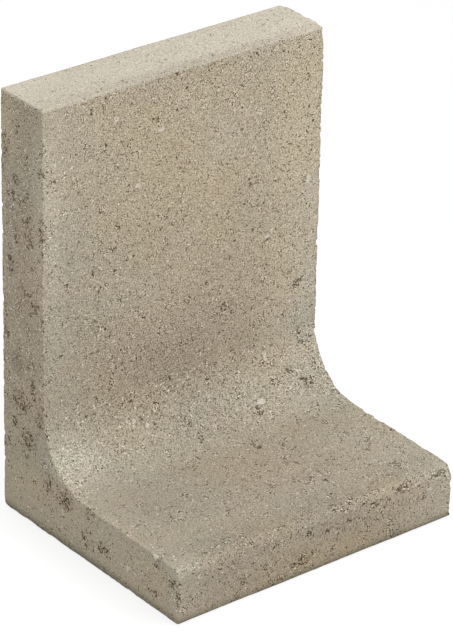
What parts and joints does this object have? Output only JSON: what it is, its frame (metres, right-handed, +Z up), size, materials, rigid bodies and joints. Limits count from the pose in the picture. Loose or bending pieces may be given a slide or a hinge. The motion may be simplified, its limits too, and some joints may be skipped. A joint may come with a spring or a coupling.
{
  "type": "l-shaped concrete block",
  "caption": "L-shaped cast concrete block: a thick upright wall standing on a foot, joined by a large rounded inside corner.",
  "frame": {"origin": "centre of the underside, on the bed that the block stands on", "axes": "+X along the block's length, +Y towards the flat back of the upstand, with the foot pointing to -Y, +Z up"},
  "size_m": [0.3, 0.25, 0.4],
  "materials": {
    "concrete": "matte"
  },
  "bodies": {
    "root": {"l_block": "concrete"}
  },
  "joints": []
}
